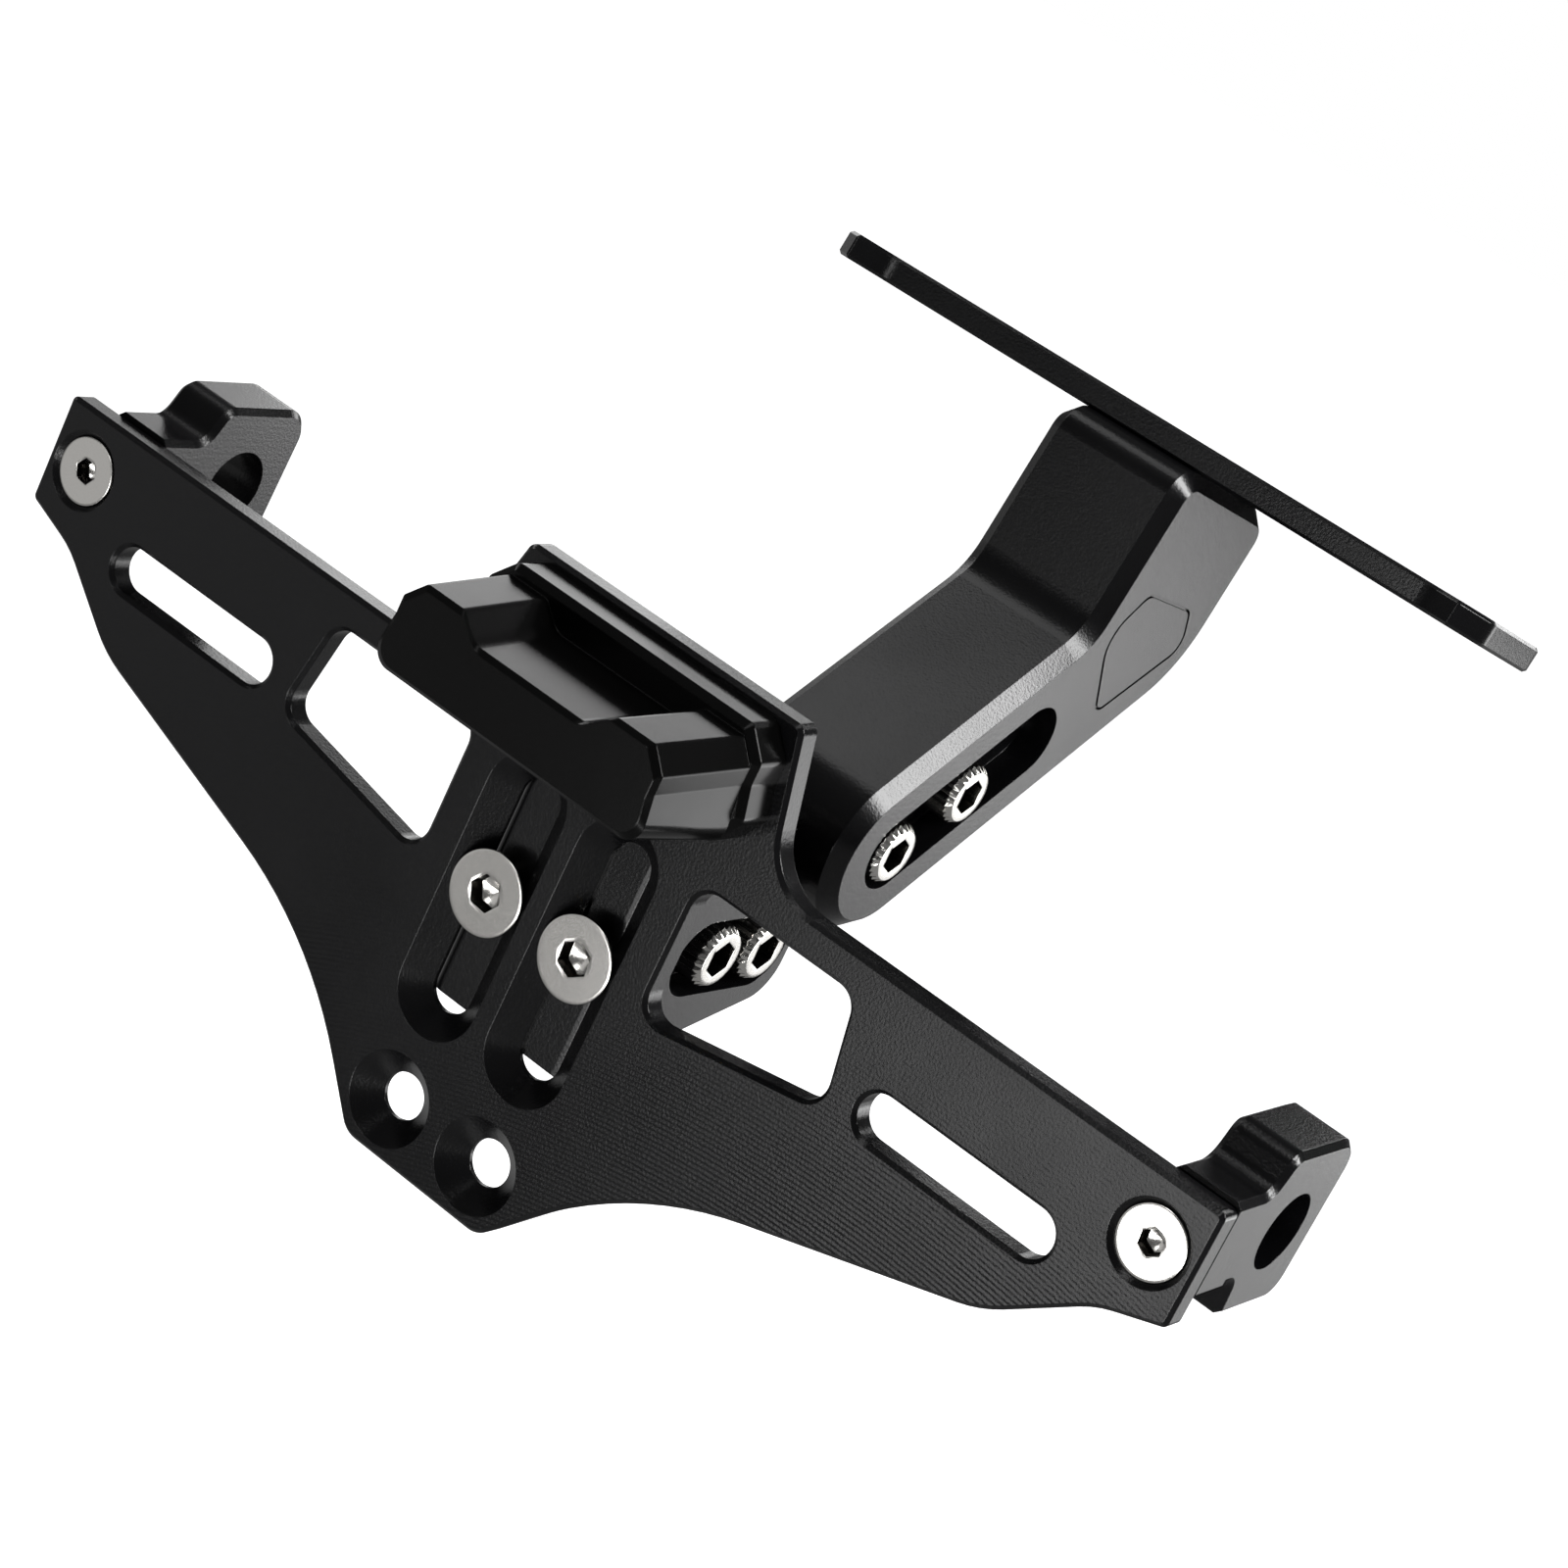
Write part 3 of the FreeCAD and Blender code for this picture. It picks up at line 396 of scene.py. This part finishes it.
nut = turn("nut", [(NUT / math.sqrt(3), 0), (NUT / math.sqrt(3), NUT_THICK)], 6)
combine(nut, turn("chamfer", [(NUT_FACE, 0), (NUT_CORNERS, NUT_CHAMFER),
                              (NUT_CORNERS, NUT_THICK - NUT_CHAMFER), (NUT_FACE, NUT_THICK)], 64),
        "INTERSECT")
combine(nut, turn("tap", [(M6 / 2 + TAP_LEAD, -0.1), (M6 / 2, TAP_LEAD),
                          (M6 / 2, NUT_THICK - TAP_LEAD), (M6 / 2 + TAP_LEAD, NUT_THICK + 0.1)],
                  48), "DIFFERENCE")
round_edges(nut, NUT_ROUNDING)
nut.data.materials.append(bright_steel)
for bolt_node, nut_node in BOLTS.items():
    low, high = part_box(bolt_node)
    y, z = (low.y + high.y) / 2 / MM, (low.z + high.z) / 2 / MM
    fit(cap_bolt, bolt_node, (high.x / MM, y, z), (1, 0, 0), 0, "link")
    fit(nut, nut_node, (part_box(nut_node)[1].x / MM, y, z), (-1, 0, 0), 0, "link")
bpy.data.objects.remove(cap_bolt)
bpy.data.objects.remove(nut)

# Plate bracket
# It is bolted on the link's lower end and carries the wing plate. Milled from aluminium bar,
# hollow for the link, tapped in front for two screws; black anodised.
dress(bar_stock, "plate_bracket")

# Countersunk screws of the plate bracket
# Two stainless M6 screws clamp the wing plate, which slides on them by its slots. They are
# made as the tail plate's screws are, and each was tightened to its own turn.
M6_SUNK_HEAD = 12.2
M6_SUNK_KEY = 4.7
PLATE_SCREW_LENGTH = 16.0
plate_screw = sunk_screw("plate_screw", M6_SUNK_HEAD, M6, M6_SUNK_KEY, PLATE_SCREW_LENGTH)
for node, spin in (("plate_screw_left", 25), ("plate_screw_right", 5)):
    low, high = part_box(node)
    fit(plate_screw, node, ((low.x + high.x) / 2 / MM, low.y / MM, (low.z + high.z) / 2 / MM),
        (0, -1, 0), spin, "bracket")
bpy.data.objects.remove(plate_screw)

# Wing plate
# It carries the number plate. 4.2 mm aluminium plate, faced with a fly cutter that left fine
# arcs low on its right, windows and slots milled through, countersunk; black anodised.
faced_plate = black_anodised("black_anodised_faced_plate", wave="RINGS", centre=(66, 0, -232),
                             pitch=FEED_PITCH, cut_depth=0.022, milled=(0, 1, 0),
                             deep_to=214, gone_at=232)
dress(faced_plate, "wing_plate")

# Plate light
# It lights the number plate from above. A housing moulded in glossy black ABS, a clear
# lens and a white board with three emitters below, and two screws from behind.
HOUSING = "#030303"
HOUSING_ROUGH = 0.2
HOUSING_GLOSS = 0.15
MOULD_RIPPLE = 6
RIPPLE_DEPTH = 0.05
MOULDED_EDGE = 0.25
LENS = "#f4f8fa"
LENS_ROUGH = 0.05
LENS_INDEX = 1.58
LENS_CLEARNESS = 0.92
LENS_FLUTE = 1.5
FLUTE_DEPTH = 0.1


def mottled(name, dark, pale, roughness, patch, detail):
    """A satin finish whose colour wanders between two tones, in patches this many mm wide."""
    material, tree, shader = finish(name, pale, roughness)
    place = add(tree, "ShaderNodeTexCoord")
    patches = add(tree, "ShaderNodeTexNoise", {},
                  {"Vector": place.outputs["Object"], "Scale": 1 / (patch * MM), "Detail": detail})
    tint = add(tree, "ShaderNodeMix", {"data_type": "RGBA"},
               {"Factor": patches.outputs["Fac"], "A": linear(dark), "B": linear(pale)})
    tree.links.new(tint.outputs["Result"], shader.inputs["Base Color"])
    return material


# Blacker than the metal, and its moulded faces mirror the soft lamps with a slight ripple.
housing, tree, shader = finish("glossy_black_abs", HOUSING, HOUSING_ROUGH)
shader.inputs["Specular IOR Level"].default_value = HOUSING_GLOSS
place = add(tree, "ShaderNodeTexCoord")
ripple = add(tree, "ShaderNodeTexNoise", {},
             {"Vector": place.outputs["Object"], "Scale": 1 / (MOULD_RIPPLE * MM), "Detail": 1.0})
edges = add(tree, "ShaderNodeBevel", {"samples": 4}, {"Radius": MOULDED_EDGE * MM})
bump = add(tree, "ShaderNodeBump", {},
           {"Strength": 0.3, "Distance": RIPPLE_DEPTH * MM, "Height": ripple.outputs["Fac"],
            "Normal": edges.outputs["Normal"]})
tree.links.new(bump.outputs["Normal"], shader.inputs["Normal"])
dress(housing, "light_body")

# Clear, with fine flutes that spread the light and glint along its length.
lens, tree, shader = finish("clear_moulded_polycarbonate", LENS, LENS_ROUGH)
shader.inputs["IOR"].default_value = LENS_INDEX
shader.inputs["Transmission Weight"].default_value = LENS_CLEARNESS
place = add(tree, "ShaderNodeTexCoord")
flutes = add(tree, "ShaderNodeTexWave", {"wave_type": "BANDS", "bands_direction": "X"},
             {"Vector": place.outputs["Object"], "Scale": math.pi / 10 / (LENS_FLUTE * MM)})
bump = add(tree, "ShaderNodeBump", {},
           {"Strength": 0.5, "Distance": FLUTE_DEPTH * MM, "Height": flutes.outputs["Fac"]})
tree.links.new(bump.outputs["Normal"], shader.inputs["Normal"])
dress(lens, "light_lens")

# A white lacquered board, faintly cloudy, and yellow phosphor over the emitters.
board = mottled("white_solder_mask_board", dark="#dcded8", pale="#eeefea", roughness=0.45,
                patch=0.8, detail=2.0)
emitters = mottled("led_package_with_phosphor", dark="#e2b93c", pale="#f0d36a", roughness=0.35,
                   patch=0.5, detail=1.0)
dress(board, "light_board")
dress(emitters, "light_leds")

# Button head screws of the light
# Two stainless M4 screws go into the housing from behind the wing plate. They are cold headed
# with a low dome, and broached for a small key.
M4 = 4.0
M4_LEAD = 0.5
BUTTON_HEAD = 7.6
BUTTON_HEIGHT = 2.2
BUTTON_KEY = 2.5
BUTTON_ROUNDING = 0.08
LIGHT_SCREW_LENGTH = 10.0
# The dome from its edge to its flat top: the share of the head's radius, and the height.
DOME = ((1.0, -1.9), (0.95, -1.3), (0.82, -0.7), (0.62, -0.2), (0.45, 0))

tip = -BUTTON_HEIGHT - LIGHT_SCREW_LENGTH
button = BUTTON_HEAD / 2
light_screw = turn("light_screw", [(M4 / 2 - M4_LEAD, tip), (M4 / 2, tip + M4_LEAD),
                                   (M4 / 2, -BUTTON_HEIGHT), (button, -BUTTON_HEIGHT)]
                   + [(button * share, height) for share, height in DOME], 64)
key_socket(light_screw, BUTTON_KEY, BUTTON_HEIGHT / 2)
round_edges(light_screw, BUTTON_ROUNDING)
light_screw.data.materials.append(bright_steel)
paint_socket_shade(light_screw, BUTTON_KEY, -BUTTON_HEIGHT)
for node in ("light_screw_left", "light_screw_right"):
    low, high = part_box(node)
    fit(light_screw, node, ((low.x + high.x) / 2 / MM, high.y / MM, (low.z + high.z) / 2 / MM),
        (0, 1, 0), 0, "wing")
bpy.data.objects.remove(light_screw)

# Signal brackets
# A small block behind each end of the wing plate, bored for a turn signal's stem. Milled
# from the same bar as the arm, anodised black, and held by one screw.
dress(bar_stock, "signal_bracket_left", "signal_bracket_right")

# Countersunk screws of the signal brackets
# One stainless M5 screw holds each block, through the wing plate's end. It is the tail
# plate's screw, but 2 mm shorter.
SIGNAL_SCREW_LENGTH = 12.0
signal_screw = sunk_screw("signal_screw", M5_HEAD, M5, M5_SUNK_KEY, SIGNAL_SCREW_LENGTH)
for node, spin in (("signal_screw_left", 25), ("signal_screw_right", 5)):
    low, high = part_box(node)
    fit(signal_screw, node, ((low.x + high.x) / 2 / MM, low.y / MM, (low.z + high.z) / 2 / MM),
        (0, -1, 0), spin, "wing")
bpy.data.objects.remove(signal_screw)

# Floor and background
# A pale paper floor well below the part, which hangs free over it. To the camera it is white
# and keeps the part's soft shadow; in the black metal it is a dim grey, as in a dark studio.
FLOOR_BELOW = 420
FLOOR_SIZE = 9.0
PAPER = "#e4e4e4"
PAPER_ROUGH = 0.8
PAPER_GLOW = 1.0
PAPER_IN_MIRROR = 0.28


def seen_straight(tree):
    """The ray's own kinds, and 1 where it comes from the camera or through glass."""
    path = add(tree, "ShaderNodeLightPath")
    straight = add(tree, "ShaderNodeMath", {"operation": "MAXIMUM"},
                   {0: path.outputs["Is Camera Ray"], 1: path.outputs["Is Transmission Ray"]})
    return path, straight.outputs["Value"]


bpy.ops.object.select_all(action="DESELECT")
bpy.ops.mesh.primitive_plane_add(size=FLOOR_SIZE, location=(0, 0, cad_box[0].z - FLOOR_BELOW * MM))
floor = bpy.context.object
floor.name = "floor"
bpy.ops.object.transform_apply()
paper, tree, shader = finish("matt_white_paper", PAPER, PAPER_ROUGH)
path, straight = seen_straight(tree)
mirrored = add(tree, "ShaderNodeEmission", inputs={"Strength": PAPER_IN_MIRROR})
glow = add(tree, "ShaderNodeEmission", inputs={"Strength": PAPER_GLOW})
lit = add(tree, "ShaderNodeAddShader",
          inputs={0: shader.outputs["BSDF"], 1: glow.outputs["Emission"]})
in_metal = add(tree, "ShaderNodeMixShader",
               inputs={0: path.outputs["Is Glossy Ray"], 1: shader.outputs["BSDF"],
                       2: mirrored.outputs["Emission"]})
seen = add(tree, "ShaderNodeMixShader",
           inputs={0: straight, 1: in_metal.outputs["Shader"], 2: lit.outputs["Shader"]})
tree.links.new(seen.outputs["Shader"], tree.nodes["Material Output"].inputs["Surface"])
floor.data.materials.append(paper)

# Studio light
# A ring of small soft boxes turned to the part: a strong one over its right shoulder, dim
# ones behind that its top edges mirror, a low row in front on the right, and a narrow one
# that lights the tail plate's edge. The room's own light is weak.
ROOM_LIGHT = 0.12
BACKDROP_WHITE = 1.0
LAMP_SIDE = 0.4
NARROW_SIDE = 0.2
LAMP_FAR = 1.1
# Each lamp's name, the way that it stands from the part, and its watts.
LAMPS = {
    "over_right_shoulder": ((0.75, 0.20, 0.63), 16),
    "overhead_left": ((-0.43, 0.04, 0.9), 1.1),
    "overhead_front": ((0.0, -0.3, 0.95), 1.6),
    "left_high": ((-0.85, 0.15, 0.5), 2.5),
    "behind_far_left": ((-0.7, 0.69, 0.2), 0.6),
    "behind_left": ((-0.44, 0.85, 0.28), 1.3),
    "behind_middle": ((0.03, 0.95, 0.3), 2.4),
    "behind_right": ((0.55, 0.8, -0.1), 2.1),
    "behind_right_low": ((0.42, 0.85, -0.31), 0.55),
    "right_low": ((0.8, 0.55, -0.35), 3.0),
    "front_left_low": ((-0.67, -0.71, -0.24), 0.14),
    "front_middle": ((-0.45, -0.89, 0.08), 0.25),
    "front_low": ((-0.185, -0.91, -0.37), 2.1),
    "front_narrow": ((-0.21, -0.93, 0.26), 0.75),
    "front_middle_low": ((0.0, -0.92, -0.4), 0.9),
    "front_right_low": ((0.3, -0.88, -0.38), 5),
    "front_far_right_low": ((0.55, -0.78, -0.3), 5.6),
}

world = bpy.data.worlds.new("studio")
bpy.context.scene.world = world
world.use_nodes = True
tree = world.node_tree
tree.nodes.clear()
_, straight = seen_straight(tree)
room = add(tree, "ShaderNodeBackground", inputs={"Color": (1, 1, 1, 1), "Strength": ROOM_LIGHT})
white = add(tree, "ShaderNodeBackground", inputs={"Color": (1, 1, 1, 1),
                                                  "Strength": BACKDROP_WHITE})
seen = add(tree, "ShaderNodeMixShader",
           inputs={0: straight, 1: room.outputs["Background"], 2: white.outputs["Background"]})
add(tree, "ShaderNodeOutputWorld", inputs={"Surface": seen.outputs["Shader"]})
for name, (towards, watts) in LAMPS.items():
    lamp = bpy.data.lights.new(name, "AREA")
    lamp.size = NARROW_SIDE if name.endswith("narrow") else LAMP_SIDE
    lamp.energy = watts
    lamp_object = bpy.data.objects.new(name, lamp)
    bpy.context.scene.collection.objects.link(lamp_object)
    lamp_object.location = Vector(towards).normalized() * LAMP_FAR
    lamp_object.rotation_mode = "QUATERNION"
    lamp_object.rotation_quaternion = (-Vector(towards)).to_track_quat("-Z", "Y")

# Camera
# It stands in front of the part, above it and to its right, rolled to the left, with a long
# lens. Its place was worked out from the wing plate's outline and screws.
CAMERA_PLACE = Vector((248.13, -437.56, 183.20)) * MM
CAMERA_RIGHT = Vector((0.7405, 0.5295, 0.4140))
CAMERA_UP = Vector((-0.5157, 0.0526, 0.8552))
CAMERA_LENS = 92.37

camera_data = bpy.data.cameras.new("camera")
camera_data.sensor_width = 36.0
camera_data.lens = CAMERA_LENS
camera_data.clip_start = 0.01
camera_data.clip_end = 20.0
camera = bpy.data.objects.new("camera", camera_data)
bpy.context.scene.collection.objects.link(camera)
backwards = CAMERA_RIGHT.cross(CAMERA_UP).normalized()
camera.matrix_world = (Matrix.Translation(CAMERA_PLACE)
                       @ Matrix((CAMERA_RIGHT, CAMERA_UP, backwards)).transposed().to_4x4())
bpy.context.scene.camera = camera
bpy.context.scene.view_settings.view_transform = "Standard"
